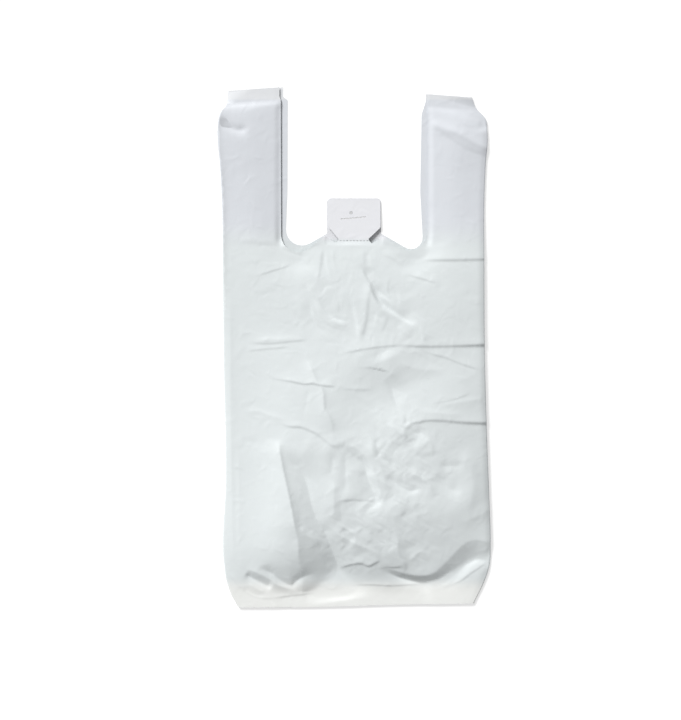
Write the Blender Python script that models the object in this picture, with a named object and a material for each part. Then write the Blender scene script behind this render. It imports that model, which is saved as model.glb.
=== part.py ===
"""Gusseted vest-type carrier bag, lying on its back panel with a little air left in it.

The bag is one blown tube of film. Its sides are folded in as gussets, a weld closes it across
the bottom and across the handle tops, and a die punches the mouth out between the handles.
The model is made in that order. X runs across the bag, Y from the bottom to the handles, Z up.
"""

import bmesh
import bpy
import numpy as np

MM = 0.001  # the tables below are in millimetres, the mesh is in metres
CENTRING = (-0.018, 0.245)  # brings the middle of the finished bag's outline onto the axes

# Driving sizes, in millimetres
HALF_LENGTH = 300.0
GUSSET_DEPTH = 60.0
FILM = 0.6  # wall of the model; the real film is about 0.02 mm
LAYER_STEP = 0.9  # from the middle of one film to the middle of the next, in a pressed stack
BACK_LEVEL = FILM / 2
PRESSED_LEVEL = BACK_LEVEL + 3 * LAYER_STEP  # front film where all four films are welded
WELD_BOTTOM = -270.0
WELD_TOP = 287.0
WELD_WIDTH = 3.0
WELD_SHARE = 0.993  # a weld bar ends just short of the side folds
WELD_SUNK = 0.15  # how far its top and bottom lie inside the outer films
WELD_RINGS = 9
FOLD_INSET = 0.45  # half of a folded edge's thickness, between film middles

# How finely the film is divided across the bag and along it
FRONT_COLUMNS = 34
BACK_COLUMNS = 6
GUSSET_COLUMNS = 2
BOTTOM_STATIONS = (-HALF_LENGTH, -286, WELD_BOTTOM - 3, WELD_BOTTOM + 4)
TUCK_STATIONS = (-259, -232, 4)  # first, last, how many
BODY_STATIONS = (-221, 264, 40)
TOP_STATIONS = (274, 282, WELD_TOP + 4, HALF_LENGTH)

# Side folds as the bag lies: (place along the bag, distance from the centre line)
LEFT_EDGE = (
    (-300, -133), (-286, -141), (-268, -147), (-250, -149.5), (-150, -147.5), (0, -150),
    (100, -151), (170, -152), (215, -154.5), (245, -157), (262, -156.8), (276, -153.5),
    (287, -147), (300, -145),
)
RIGHT_EDGE = (
    (-300, 138), (-284, 145), (-268, 151), (-252, 156), (-225, 157.2), (-180, 156), (-100, 153),
    (0, 150.5), (100, 150), (170, 150), (215, 151.5), (260, 153.5), (276, 151), (287, 141),
    (300, 136),
)
# How far each handle has slid along the bag by its top: (share across the bag, distance)
HANDLE_SLIDE = ((-1, -4.5), (-0.5, 0), (0.5, -7), (1, -12))
HANDLE_ROOT = 130.0

# Height of the front film along the centre line, and along its side folds
CENTRE_HEIGHT = (
    (-300, PRESSED_LEVEL), (-274, PRESSED_LEVEL), (-266, PRESSED_LEVEL), (-258, 9), (-244, 15),
    (-205, 20), (-150, 19), (-80, 16), (0, 14.5), (80, 13.5), (125, 12.5), (170, 10), (262, 9),
    (282, PRESSED_LEVEL), (300, PRESSED_LEVEL),
)
EDGE_HEIGHT = (
    (-300, PRESSED_LEVEL), (-274, PRESSED_LEVEL), (-266, PRESSED_LEVEL), (-254, 6), (-235, 8),
    (-180, 9), (-80, 8.5), (0, 8.5), (100, 8), (200, 7.5), (262, 7.5), (282, PRESSED_LEVEL),
    (300, PRESSED_LEVEL),
)

# The die that punches the mouth: corners from the tab's top out to the handle's top, as
# (across, along, corner radius). The front film has slid down, so its corners lie lower.
FRONT_DIE_LEFT = (
    (-30.6, 171, 5), (-30.6, 133, 2), (-17.5, 123, 1.2), (-84.5, 83, 22), (-84.5, 285, 2),
    (-86, 289, 2), (-86, 330, 0),
)
FRONT_DIE_RIGHT = (
    (30.6, 171, 5), (30.6, 133, 2), (17.5, 122.6, 1.2), (85, 82.8, 25), (85, 272, 2),
    (87, 284, 2), (87, 330, 0),
)
BACK_DIE_LEFT = (
    (-31.2, 171.8, 5), (-31.2, 134.5, 1.5), (-21, 126, 0.8), (-18.6, 122.2, 0.8),
    (-22, 121, 0.8), (-31, 130.6, 4), (-80, 103, 18.7), (-77, 180, 60), (-76.6, 285, 2),
    (-82, 289, 2), (-82, 330, 0),
)
BACK_DIE_RIGHT = (
    (31.2, 171.8, 5), (31.2, 134.5, 1.5), (21, 126, 0.8), (18.2, 122, 0.8),
    (22, 120.2, 0.8), (32, 130.6, 4), (80.5, 102.7, 13.4), (76.4, 180, 60), (78, 268, 20),
    (83, 284, 2), (83, 330, 0),
)
CORNER_STEPS = 5
DIE_SPLIT = 0.85  # level between the back tab and the front tab
DIE_OVERLAP = 0.03
DIE_REACH = 60.0

# Hang tab: the films are pinned together by one hot weld above a hang slit
PRESSED_HALF_WIDTH = 45.0  # the front film is pressed down across the tab and a little beyond
TAB_START = 124.0
TAB_FLAT = 146.0
TAB_LEVEL = 1.4
PIN = (-3.5, 155.0)
PIN_WELD_RADIUS = 4.0
PIN_HOLE_RADIUS = 1.2
SLIT_CENTRE = (-1.5, 148.5)
SLIT_LENGTH = 26.0
SLIT_WIDTH = 1.4
PUNCH_LOW, PUNCH_HIGH = -5.0, 10.0  # levels between which the tab's hole and slit are punched

# Folds in the front film: places along the crest or valley, rise, and how far each flank
# reaches to the left and to the right of the way the fold runs
FOLDS = {
    "cross_fold_right": (((20, 1), (99, 2.3), (152, 2.3)), -2.2, 9, 9),
    "cross_fold_left": (((-125, 3), (-57, 4.6), (20, 1)), -1.2, 9, 9),
    "hip_fold": (((58, -88), (105, -87), (152, -86)), -2.4, 9, 9),
    "shoulder_fold": (((81, 99), (115, 100), (152, 100)), -1.6, 9, 9),
    "long_ridge": (((13, 104), (28, 66), (51, 36), (84, 4)), 2.6, 11, 13),
    "left_drape": (((-42, 92), (-38, 50), (-10, 18)), 1.8, 12, 12),
    "centre_drape": (((-8, 84), (-4, 40), (0, 8)), 1.4, 11, 11),
    "panel_edge_left": (((-55, -13), (-41, -44), (-30, -84), (-10, -117)), -2.2, 12, 10),
    "panel_edge_right": (((41, -44), (51, -61), (60, -88)), -1.8, 9, 12),
    "centre_valley": (((-10, -111), (10, -126), (22, -148), (32, -182)), -2.6, 12, 10),
    "left_ridge": (((-88, -105), (-84, -176), (-74, -252)), 3.2, 20, 9),
    "left_valley": (((-80, -112), (-66, -176), (-46, -245)), -3.0, 9, 12),
    "inner_ridge": (((-71, -118), (-42, -190), (-22, -252)), 3.4, 12, 10),
    "tuck_valley": (((44, -258), (80, -262), (112, -244), (158, -224)), -4.6, 18, 10),
    "lip_ridge": (((95, -266), (125, -255), (157, -246)), 2.4, 9, 9),
    "left_tuck": (((-122, -246), (-98, -258), (-62, -262)), -2.6, 9, 9),
    "bottom_bulge": (((-20, -238), (10, -252), (46, -240)), 3.0, 14, 14),
    "right_handle_fold": (((86, 252), (118, 240), (152, 225)), -1.6, 9, 9),
    "left_handle_dimple": (((-158, 258), (-134, 251), (-110, 256)), -1.4, 9, 9),
}
FLOOR_OF_FRONT = 3.0  # a fold never presses the front film below this
FOLD_SPREAD = 0.6  # share of a flank's reach at which a fold has lost two thirds of its height
FOLD_TAPER = 0.2  # share of a fold's length over which each of its ends dies away
SIDE_REACH = 145  # a fold that ends beyond this runs off the side of the bag at full height
CROWN_FLAT, CROWN_ROUND = 2.2, 0.8  # powers that shape the air-filled front from side to side
WELD_CLEAR, WELD_EASE = 4, 14  # folds start this far from a weld and are full after the second


def smooth_curve(table, at):
    """Value at a place, on a smooth curve through (place, value) pairs."""
    places, values = np.array(table, float).T
    slopes = np.gradient(values, places)
    i = int(np.clip(np.searchsorted(places, at) - 1, 0, len(places) - 2))
    span = places[i + 1] - places[i]
    t = np.clip((at - places[i]) / span, 0, 1)
    start = (2 * t**3 - 3 * t**2 + 1) * values[i] + (t**3 - 2 * t**2 + t) * span * slopes[i]
    end = (3 * t**2 - 2 * t**3) * values[i + 1] + (t**3 - t**2) * span * slopes[i + 1]
    return float(start + end)


def level_curve(table, at):
    """Value at a place, easing from each pair to the next, with no overshoot."""
    places, values = np.array(table, float).T
    i = int(np.clip(np.searchsorted(places, at) - 1, 0, len(places) - 2))
    t = np.clip((at - places[i]) / (places[i + 1] - places[i]), 0, 1)
    return float(values[i] + (values[i + 1] - values[i]) * t * t * (3 - 2 * t))


def ease(t):
    t = float(np.clip(t, 0, 1))
    return t * t * (3 - 2 * t)


def fold_rise(x, y, fold):
    """Height that one fold adds at (x, y): full on its line, falling off to each side."""
    line, rise, left_reach, right_reach = fold
    nearest = None
    lengths = [np.hypot(b[0] - a[0], b[1] - a[1]) for a, b in zip(line, line[1:])]
    run = 0.0
    for (ax, ay), (bx, by), length in zip(line, line[1:], lengths):
        along = np.clip(((x - ax) * (bx - ax) + (y - ay) * (by - ay)) / length**2, 0, 1)
        off_x = x - ax - along * (bx - ax)
        off_y = y - ay - along * (by - ay)
        distance = np.hypot(off_x, off_y)
        if nearest is None or distance < nearest[0]:
            on_left = (bx - ax) * off_y - (by - ay) * off_x > 0
            nearest = (distance, on_left, (run + along * length) / sum(lengths))
        run += length
    distance, on_left, share = nearest
    reach = left_reach if on_left else right_reach
    taper = ease(share / FOLD_TAPER)
    if line[-1][0] < SIDE_REACH:
        taper *= ease((1 - share) / FOLD_TAPER)
    return rise * taper * np.exp(-((distance / (FOLD_SPREAD * reach)) ** 2))


def side_edges(v):
    return smooth_curve(LEFT_EDGE, v), smooth_curve(RIGHT_EDGE, v)


def as_it_lies(u, v):
    """Plan position of the film at share u across the bag (-1 to 1) and place v along it."""
    left, right = side_edges(v)
    x = left + (right - left) * (u + 1) / 2
    slide = smooth_curve(HANDLE_SLIDE, u) * ease((v - HANDLE_ROOT) / (WELD_TOP - HANDLE_ROOT))
    return x, v + slide


def front_height(u, v):
    """Height of the middle of the front film."""
    edge, centre = level_curve(EDGE_HEIGHT, v), level_curve(CENTRE_HEIGHT, v)
    height = edge + (centre - edge) * (1 - abs(u) ** CROWN_FLAT) ** CROWN_ROUND
    x, y = as_it_lies(u, v)
    free = ease((v - WELD_BOTTOM - WELD_CLEAR) / WELD_EASE)
    free *= ease((WELD_TOP - v - WELD_CLEAR) / WELD_EASE)
    folds = sum(fold_rise(x, y, fold) for fold in FOLDS.values())
    height = max(height + folds * free, FLOOR_OF_FRONT)
    if abs(x) < PRESSED_HALF_WIDTH and v > TAB_START:
        down = ease((v - TAB_START) / (TAB_FLAT - TAB_START))
        height += (TAB_LEVEL - height) * down
    return height


def section(v):
    """The closed loop of film across the bag at v: front, right gusset, back, left gusset."""
    left, right = as_it_lies(-1, v), as_it_lies(1, v)
    inset = 2 * FOLD_INSET / (right[0] - left[0])
    across = np.linspace(-1 + inset, 1 - inset, FRONT_COLUMNS + 1)
    front = [(*as_it_lies(u, v), front_height(u, v)) for u in across]
    loop = list(front)
    for side, edge in ((1, right), (-1, left)):
        top = front[-1 if side > 0 else 0][2]
        gusset = gusset_loop(edge, side, top)
        if side > 0:
            loop += gusset
            back = np.linspace(1 - inset, -1 + inset, BACK_COLUMNS + 1)
            loop += [(*as_it_lies(u, v), BACK_LEVEL) for u in back]
        else:
            loop += gusset[::-1]
    return loop


def gusset_loop(edge, side, top):
    """Film from the front fold into the bag, round the inner fold and out to the back fold."""
    x, y = edge
    upper, lower = top - 2 * FOLD_INSET, BACK_LEVEL + 2 * FOLD_INSET
    middle = (upper + lower) / 2
    points = [(x, y, top - FOLD_INSET)]
    for share in np.linspace(0, 1, GUSSET_COLUMNS + 1):
        inward = FOLD_INSET + share * (GUSSET_DEPTH - 2 * FOLD_INSET)
        points.append((x - side * inward, y, upper + (middle + FOLD_INSET - upper) * share))
    points.append((x - side * GUSSET_DEPTH, y, middle))
    for share in np.linspace(1, 0, GUSSET_COLUMNS + 1):
        inward = FOLD_INSET + share * (GUSSET_DEPTH - 2 * FOLD_INSET)
        points.append((x - side * inward, y, lower + (middle - FOLD_INSET - lower) * share))
    points.append((x, y, lower - FOLD_INSET))
    return points


def places_along():
    """Stations along the bag, closer together where the film tucks into a weld."""
    evenly = [*np.linspace(*TUCK_STATIONS), *np.linspace(*BODY_STATIONS)]
    return [*BOTTOM_STATIONS, *evenly, *TOP_STATIONS]


def material(name, colour, roughness):
    made = bpy.data.materials.new(name)
    made.use_nodes = True
    shader = made.node_tree.nodes["Principled BSDF"]
    shader.inputs["Base Color"].default_value = (*colour, 1)
    shader.inputs["Roughness"].default_value = roughness
    shader.inputs["Metallic"].default_value = 0.0
    return made


def make_object(name, mesh_builder):
    bm = bmesh.new()
    mesh_builder(bm)
    bmesh.ops.recalc_face_normals(bm, faces=bm.faces)
    bmesh.ops.translate(bm, verts=bm.verts, vec=(CENTRING[0] * MM, CENTRING[1] * MM, 0))
    mesh = bpy.data.meshes.new(name)
    bm.to_mesh(mesh)
    bm.free()
    made = bpy.data.objects.new(name, mesh)
    bpy.context.collection.objects.link(made)
    return made


def build_tube(bm):
    """The gusseted tube, drawn out station by station from its first loop."""
    stations = places_along()
    first = [bm.verts.new([c * MM for c in point]) for point in section(stations[0])]
    edges = [bm.edges.new((a, b)) for a, b in zip(first, first[1:] + first[:1])]
    loop = first
    for v in stations[1:]:
        drawn = bmesh.ops.extrude_edge_only(bm, edges=edges)["geom"]
        fresh = {g for g in drawn if isinstance(g, bmesh.types.BMVert)}
        loop = [next(e.other_vert(a) for e in a.link_edges if e.other_vert(a) in fresh) for a in loop]
        for vert, point in zip(loop, section(v)):
            vert.co = [c * MM for c in point]
        edges = [g for g in drawn if isinstance(g, bmesh.types.BMEdge)]


def build_weld(bm, v):
    """One pressed bar across all four films, just short of the side folds."""
    rings = []
    low, high = WELD_SUNK, PRESSED_LEVEL + FILM / 2 - WELD_SUNK
    for u in np.linspace(-WELD_SHARE, WELD_SHARE, WELD_RINGS):
        ring = []
        for along, level in ((-1, low), (1, low), (1, high), (-1, high)):
            x, y = as_it_lies(u, v + along * WELD_WIDTH / 2)
            ring.append(bm.verts.new((x * MM, y * MM, level * MM)))
        rings.append(ring)
    bm.faces.new(rings[0])
    bm.faces.new(rings[-1][::-1])
    for a, b in zip(rings, rings[1:]):
        for i in range(4):
            bm.faces.new((a[i], b[i], b[(i + 1) % 4], a[(i + 1) % 4]))


def rounded_corner(before, corner, after):
    """Points of the arc that rounds off one corner (x, y, radius)."""
    here = np.array(corner[:2], float)
    way_in, way_out = here - np.array(before[:2]), np.array(after[:2]) - here
    room_in, room_out = np.linalg.norm(way_in), np.linalg.norm(way_out)
    way_in, way_out = way_in / room_in, way_out / room_out
    turn = np.arctan2(way_in[0] * way_out[1] - way_in[1] * way_out[0], way_in @ way_out)
    if corner[2] == 0 or abs(turn) < 1e-3:
        return [tuple(here)]
    cut = corner[2] * np.tan(abs(turn) / 2)
    start = here - way_in * cut
    inner = np.array([-way_in[1], way_in[0]]) * np.sign(turn)
    centre = start + inner * corner[2]
    points = []
    for step in range(CORNER_STEPS + 1):
        angle = turn * step / CORNER_STEPS
        arm = start - centre
        points.append(
            (
                centre[0] + arm[0] * np.cos(angle) - arm[1] * np.sin(angle),
                centre[1] + arm[0] * np.sin(angle) + arm[1] * np.cos(angle),
            )
        )
    return points


def build_die(bm, left, right, low, high):
    """The punched-out shape as a prism, from its corners on both sides of the tab."""
    corners = list(left[::-1]) + list(right)
    outline = []
    for i, corner in enumerate(corners):
        outline += rounded_corner(corners[i - 1], corner, corners[(i + 1) % len(corners)])
    floor = bm.faces.new([bm.verts.new((x * MM, y * MM, low * MM)) for x, y in outline])
    raised = bmesh.ops.extrude_face_region(bm, geom=[floor])["geom"]
    lifted = [g for g in raised if isinstance(g, bmesh.types.BMVert)]
    bmesh.ops.translate(bm, verts=lifted, vec=(0, 0, (high - low) * MM))


def build_pin(bm, radius, low, high, segments):
    made = bmesh.ops.create_cone(
        bm, cap_ends=True, segments=segments, radius1=radius * MM, radius2=radius * MM,
        depth=(high - low) * MM,
    )
    bmesh.ops.translate(bm, verts=made["verts"], vec=(PIN[0] * MM, PIN[1] * MM, (high + low) / 2 * MM))


def build_slit(bm):
    """A narrow stadium-ended bar that cuts the hang slit."""
    half, radius = (SLIT_LENGTH - SLIT_WIDTH) / 2, SLIT_WIDTH / 2
    outline = []
    for side in (1, -1):
        for angle in np.linspace(-np.pi / 2, np.pi / 2, 5):
            outline.append(
                (
                    SLIT_CENTRE[0] + side * (half + radius * np.cos(angle)),
                    SLIT_CENTRE[1] + side * radius * np.sin(angle),
                )
            )
    floor = bm.faces.new([bm.verts.new((x * MM, y * MM, PUNCH_LOW * MM)) for x, y in outline])
    raised = bmesh.ops.extrude_face_region(bm, geom=[floor])["geom"]
    lifted = [g for g in raised if isinstance(g, bmesh.types.BMVert)]
    bmesh.ops.translate(bm, verts=lifted, vec=(0, 0, (PUNCH_HIGH - PUNCH_LOW) * MM))


def combine(target, tool, operation):
    """Adds or cuts with a tool body, which stays in the file as a guide."""
    tool.hide_render = True
    tool.display_type = "WIRE"
    change = target.modifiers.new(tool.name, "BOOLEAN")
    change.object = tool
    change.operation = operation
    change.solver = "EXACT"


def main():
    for old in list(bpy.data.objects):
        bpy.data.objects.remove(old)

    bag = make_object("carrier_bag", build_tube)
    bag.data.materials.append(material("white_film", (0.76, 0.78, 0.79), 0.38))
    wall = bag.modifiers.new("film_wall", "SOLIDIFY")
    wall.thickness = FILM * MM
    wall.offset = 0.0

    for name, place in (("bottom_weld", WELD_BOTTOM), ("handle_weld", WELD_TOP)):
        combine(bag, make_object(name, lambda bm, v=place: build_weld(bm, v)), "UNION")

    front_die = make_object(
        "front_die",
        lambda bm: build_die(bm, FRONT_DIE_LEFT, FRONT_DIE_RIGHT, DIE_SPLIT - DIE_OVERLAP, DIE_REACH),
    )
    back_die = make_object(
        "back_die",
        lambda bm: build_die(bm, BACK_DIE_LEFT, BACK_DIE_RIGHT, -DIE_REACH, DIE_SPLIT + DIE_OVERLAP),
    )
    combine(bag, front_die, "DIFFERENCE")
    combine(bag, back_die, "DIFFERENCE")

    pin_weld = make_object(
        "pin_weld",
        lambda bm: build_pin(bm, PIN_WELD_RADIUS, WELD_SUNK, TAB_LEVEL + FILM / 2 - WELD_SUNK, 20),
    )
    combine(bag, pin_weld, "UNION")
    pin_hole = make_object(
        "pin_hole", lambda bm: build_pin(bm, PIN_HOLE_RADIUS, PUNCH_LOW, PUNCH_HIGH, 12)
    )
    combine(bag, pin_hole, "DIFFERENCE")
    combine(bag, make_object("hang_slit", build_slit), "DIFFERENCE")

    bag.data.shade_smooth()


main()
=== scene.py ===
# %% [markdown]
# A carrier bag of thin white film, lying on a table with a little air left in it.
# The real bag starts as one long tube of film. Its sides are folded in as gussets, a hot bar welds
# it shut across the bottom and across the handle tops, and a die punches the mouth out between the
# handles. Here the film is modelled in that same order: a flat grid is folded into the tube, the
# folds and creases are pressed into it, it gets its thickness, and the dies cut it last.

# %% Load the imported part
import math

import bpy
import numpy as np
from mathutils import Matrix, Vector


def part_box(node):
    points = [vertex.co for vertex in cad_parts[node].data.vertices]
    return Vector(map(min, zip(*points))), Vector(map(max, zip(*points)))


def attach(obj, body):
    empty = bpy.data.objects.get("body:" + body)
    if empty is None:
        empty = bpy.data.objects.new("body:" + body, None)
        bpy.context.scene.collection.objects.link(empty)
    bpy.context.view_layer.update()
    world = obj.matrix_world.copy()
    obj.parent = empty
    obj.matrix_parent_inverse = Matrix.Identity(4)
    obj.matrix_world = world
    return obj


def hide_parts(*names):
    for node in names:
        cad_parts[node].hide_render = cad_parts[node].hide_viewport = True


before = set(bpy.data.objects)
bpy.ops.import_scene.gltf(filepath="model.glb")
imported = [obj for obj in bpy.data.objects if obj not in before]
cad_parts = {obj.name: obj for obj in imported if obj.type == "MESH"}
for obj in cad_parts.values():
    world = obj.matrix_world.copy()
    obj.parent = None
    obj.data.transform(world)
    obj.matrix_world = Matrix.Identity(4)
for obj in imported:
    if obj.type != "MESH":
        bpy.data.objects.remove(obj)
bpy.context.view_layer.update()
low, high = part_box("carrier_bag")
MM = 0.001
print("the solid measures", [round((b - a) / MM, 1) for a, b in zip(low, high)], "mm")

# %% [markdown]
# The camera looks straight down, because a bag of thin film can't stand up by itself.
# One pixel of the photograph covers the same distance everywhere on the bag, so a long lens is
# used from far away. A wide lens close by would show the sides of the handles.

# %% Camera
FACE_WIDTH = 300.0  # millimetres across the folded bag
FACE_PIXELS = 260.0  # the same width in the photograph
PICTURE_HEIGHT = 720 * FACE_WIDTH / FACE_PIXELS  # millimetres from top to bottom of the picture
PICTURE_MIDDLE = (-15.6, -14.8)
CAMERA_HEIGHT = 2600.0
SENSOR = 36.0

camera_data = bpy.data.cameras.new("photo_camera")
camera_data.sensor_width = SENSOR
camera_data.lens = SENSOR * CAMERA_HEIGHT / PICTURE_HEIGHT
camera = bpy.data.objects.new("photo_camera", camera_data)
bpy.context.scene.collection.objects.link(camera)
camera.location = (PICTURE_MIDDLE[0] * MM, PICTURE_MIDDLE[1] * MM, CAMERA_HEIGHT * MM)
bpy.context.scene.camera = camera
bpy.context.scene.view_settings.view_transform = "Standard"
print("lens", round(camera_data.lens, 1), "mm")

# %% [markdown]
# White film shows its folds only by light and shade, so the light matters as much as the shape.
# One soft light comes from the top left at a low angle and grazes the film. The world fills the
# shadows from all sides. A sun lamp is used because it lights both ends of the bag alike, and its
# angle makes it soft. Lamps on every side would be softer still, but would wipe the folds out.

# %% Lights
LIGHT_FROM = (-0.50, 0.70, 0.50)
KEY_STRENGTH = 4.2
KEY_ANGLE = 22.0  # degrees: how wide the soft light looks from the bag
WORLD_LEVEL = 0.31

key_data = bpy.data.lights.new("soft_light", "SUN")
key_data.energy = KEY_STRENGTH
key_data.angle = math.radians(KEY_ANGLE)
key = bpy.data.objects.new("soft_light", key_data)
bpy.context.scene.collection.objects.link(key)
key.rotation_euler = Vector(LIGHT_FROM).to_track_quat("Z", "Y").to_euler()
world = bpy.data.worlds.new("studio")
bpy.context.scene.world = world
world.use_nodes = True
sky = world.node_tree.nodes["Background"]
sky.inputs["Color"].default_value = (1.0, 1.0, 1.0, 1)
sky.inputs["Strength"].default_value = WORLD_LEVEL
print("light from", LIGHT_FROM)

# %% [markdown]
# The table is a plain white sheet. What the camera sees of it is lifted a little by an emission
# that only camera rays, reflections and transmitted rays meet, so it comes out white, while the
# diffuse part underneath still takes the soft shadow of the bag.

# %% Table
TABLE_SIZE = 8.0  # metres
TABLE_COLOUR = (0.5, 0.5, 0.5, 1)
TABLE_ROUGHNESS, TABLE_GLOSS = 0.9, 0.1
TABLE_LIFT = 0.6


def feed(tree, node, inputs):
    """Fill in a node's inputs: a socket is linked to its input, anything else is set."""
    for name, value in inputs.items():
        if isinstance(value, bpy.types.NodeSocket):
            tree.links.new(value, node.inputs[name])
        else:
            node.inputs[name].default_value = value


def add_node(tree, kind, inputs, **settings):
    """A new shader node with its settings made and its inputs filled in."""
    made = tree.nodes.new("ShaderNode" + kind)
    for name, value in settings.items():
        setattr(made, name, value)
    feed(tree, made, inputs)
    return made


def table_material():
    """White, and lifted where the camera or a mirrored or transmitted ray sees it."""
    made = bpy.data.materials.new("white_table")
    made.use_nodes = True
    tree = made.node_tree
    ray = add_node(tree, "LightPath", {}).outputs
    rays = {0: ray["Is Camera Ray"], 1: ray["Is Glossy Ray"]}
    rays = {0: add_node(tree, "Math", rays, operation="MAXIMUM").outputs[0], 1: ray["Is Transmission Ray"]}
    lift = {0: add_node(tree, "Math", rays, operation="MAXIMUM").outputs[0], 1: TABLE_LIFT}
    feed(tree, tree.nodes["Principled BSDF"], {
        "Base Color": TABLE_COLOUR, "Roughness": TABLE_ROUGHNESS, "Specular IOR Level": TABLE_GLOSS,
        "Emission Color": (1, 1, 1, 1),
        "Emission Strength": add_node(tree, "Math", lift, operation="MULTIPLY").outputs[0],
    })
    return made


def deselect_all():
    for chosen in list(bpy.context.selected_objects):
        chosen.select_set(False)


def select_only(target):
    deselect_all()
    target.select_set(True)
    bpy.context.view_layer.objects.active = target


deselect_all()
bpy.ops.mesh.primitive_plane_add(size=TABLE_SIZE, location=(0, 0, 0))
table = bpy.context.object
table.name = "table"
table.data.materials.append(table_material())
print("table", TABLE_SIZE, "m square")

# %% [markdown]
# The outline of the bag as it lies. Its side folds aren't quite straight, the bottom corners and
# the handle tops are drawn in where the welds gather the film, and the front film has slid down a
# little on the back film. Each table pairs a place along the bag with a distance or a height.

# %% Driving sizes, in millimetres
GUSSET_DEPTH = 60.0
FILM = 0.22  # wall of the visible film
BACK_LEVEL = 0.35  # the back film over the table
LAYER_STEP = 0.55  # from one film to the next where they are pressed together
HALF_LENGTH = 300.0
WELD_TOP = 287.0
HANDLE_ROOT = 130.0

LEFT_EDGE = (
    (-300, -133), (-286, -141), (-268, -147), (-250, -149.5), (-150, -147.5), (0, -150),
    (100, -151), (170, -152), (215, -154.5), (245, -157), (262, -156.8), (276, -153.5),
    (287, -147), (300, -145),
)
RIGHT_EDGE = (
    (-300, 138), (-284, 145), (-268, 151), (-252, 156), (-225, 157.2), (-180, 156), (-100, 153),
    (0, 150.5), (100, 150), (170, 150), (215, 151.5), (260, 153.5), (276, 151), (287, 141),
    (300, 136),
)
HANDLE_SLIDE = ((-1, -4.5), (-0.5, 0), (0.5, -7), (1, -12))
BOTTOM_SLIDE = ((-1, 0), (-0.3, 0.6), (0.3, 3), (1, 4.5))
SKIRT_START = -262.0


def ease(t):
    t = np.clip(t, 0, 1)
    return t * t * (3 - 2 * t)


def smooth_between(places, values, at):
    """Value on a smooth curve through the values at some places; each may be a whole array."""
    places, values = np.array(places, float), np.array(values, float)
    slopes = np.gradient(values, places, axis=0)
    i = np.clip(np.searchsorted(places, at) - 1, 0, len(places) - 2)
    span = places[i + 1] - places[i]
    t = np.clip((at - places[i]) / span, 0, 1)

    def pick(numbers, where):
        return numbers[where] if numbers.ndim == 1 else np.take_along_axis(numbers, where[None], 0)[0]

    start = (2 * t**3 - 3 * t**2 + 1) * pick(values, i) + (t**3 - 2 * t**2 + t) * span * pick(slopes, i)
    end = (3 * t**2 - 2 * t**3) * pick(values, i + 1) + (t**3 - t**2) * span * pick(slopes, i + 1)
    return start + end


def smooth_curve(table_of_pairs, at):
    """Value on a smooth curve through (place, value) pairs."""
    return smooth_between(*zip(*table_of_pairs), at)


def as_it_lies(u, v):
    """Plan position of the film at share u across the bag (-1 to 1) and place v along it."""
    left, right = smooth_curve(LEFT_EDGE, v), smooth_curve(RIGHT_EDGE, v)
    x = left + (right - left) * (u + 1) / 2
    slide = smooth_curve(HANDLE_SLIDE, u) * ease((v - HANDLE_ROOT) / (WELD_TOP - HANDLE_ROOT))
    slide = slide + smooth_curve(BOTTOM_SLIDE, u) * ease((SKIRT_START - v) / (SKIRT_START + HALF_LENGTH))
    return x, v + slide


print("pressed stack", round(BACK_LEVEL + 3 * LAYER_STEP, 2), "mm high")

# %% [markdown]
# Folds. Thin film creases in a few ways, and each gets a short function of the distance from a
# line drawn on the bag. A ridge or a valley is where the film bends over or under. A lap is where
# it has been folded for packing and now lies over itself, climbing to a lip and dropping off. A
# pleat is a flat flank between two lines, and a gore is one that gets deeper where its two lines
# part. A sculpting brush could draw the same lines, but named folds can be corrected one at a time.

# %% How one fold shapes the film
LIGHT_WAY = np.array(LIGHT_FROM[:2])  # a fold shows this side to the light
LAP_SINK, SINK_REACH = 0.35, 0.6  # how deep the film under a lap sinks and how far, as shares
LAP_END = 3.2  # a lap ends this many reaches from its line
NEAR_REACHES = 3.3  # a fold is worked out this many reaches to each side of its line


def smooth_line(points, steps=6):
    """A finely divided smooth line through a few points."""
    p = np.array(points, float)
    if len(p) == 2:
        return p
    q = np.vstack([2 * p[0] - p[1], p, 2 * p[-1] - p[-2]])
    line = []
    for a, b, c, d in zip(q, q[1:], q[2:], q[3:]):
        for t in np.arange(steps) / steps:
            bend = (2 * a - 5 * b + 4 * c - d) * t**2 + (3 * b - a - 3 * c + d) * t**3
            line.append((2 * b + (c - a) * t + bend) / 2)
    return np.array(line + [p[-1]])


def off_line(x, y, line, lit=None):
    """Distance from a line, positive on its lit side, and the share of its length."""
    pieces = line[1:] - line[:-1]
    lengths = np.hypot(*pieces.T)
    whole = line[-1] - line[0]
    if lit is None:
        lit = np.sign(whole[0] * LIGHT_WAY[1] - whole[1] * LIGHT_WAY[0])
    off = np.full(x.shape, 1e9)
    share = np.zeros(x.shape)
    run = 0.0
    for (ax, ay), (dx, dy), length in zip(line[:-1], pieces, lengths):
        t = np.clip(((x - ax) * dx + (y - ay) * dy) / length**2, 0, 1)
        ox, oy = x - ax - t * dx, y - ay - t * dy
        distance = np.hypot(ox, oy)
        side = np.where(dx * oy - dy * ox >= 0, lit, -lit)
        nearer = distance < np.abs(off)
        off = np.where(nearer, distance * side, off)
        share = np.where(nearer, (run + t * length) / lengths.sum(), share)
        run += length
    return off, share


def fading(share, start, end):
    """A fold dies away over a share of its length at each end; 0 lets it run off the edge."""
    rise = ease(share / start) if start else 1.0
    fall = ease((1 - share) / end) if end else 1.0
    return rise * fall


def ridge(off, share, rise, lit, shade, sharp=1.5, start=0.3, end=0.3):
    """A crest or, with a negative rise, a valley. lit and shade say how far its flanks reach."""
    reach = np.where(off > 0, lit, shade)
    return rise * fading(share, start, end) * np.exp(-((np.abs(off) / reach) ** sharp))


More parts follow.
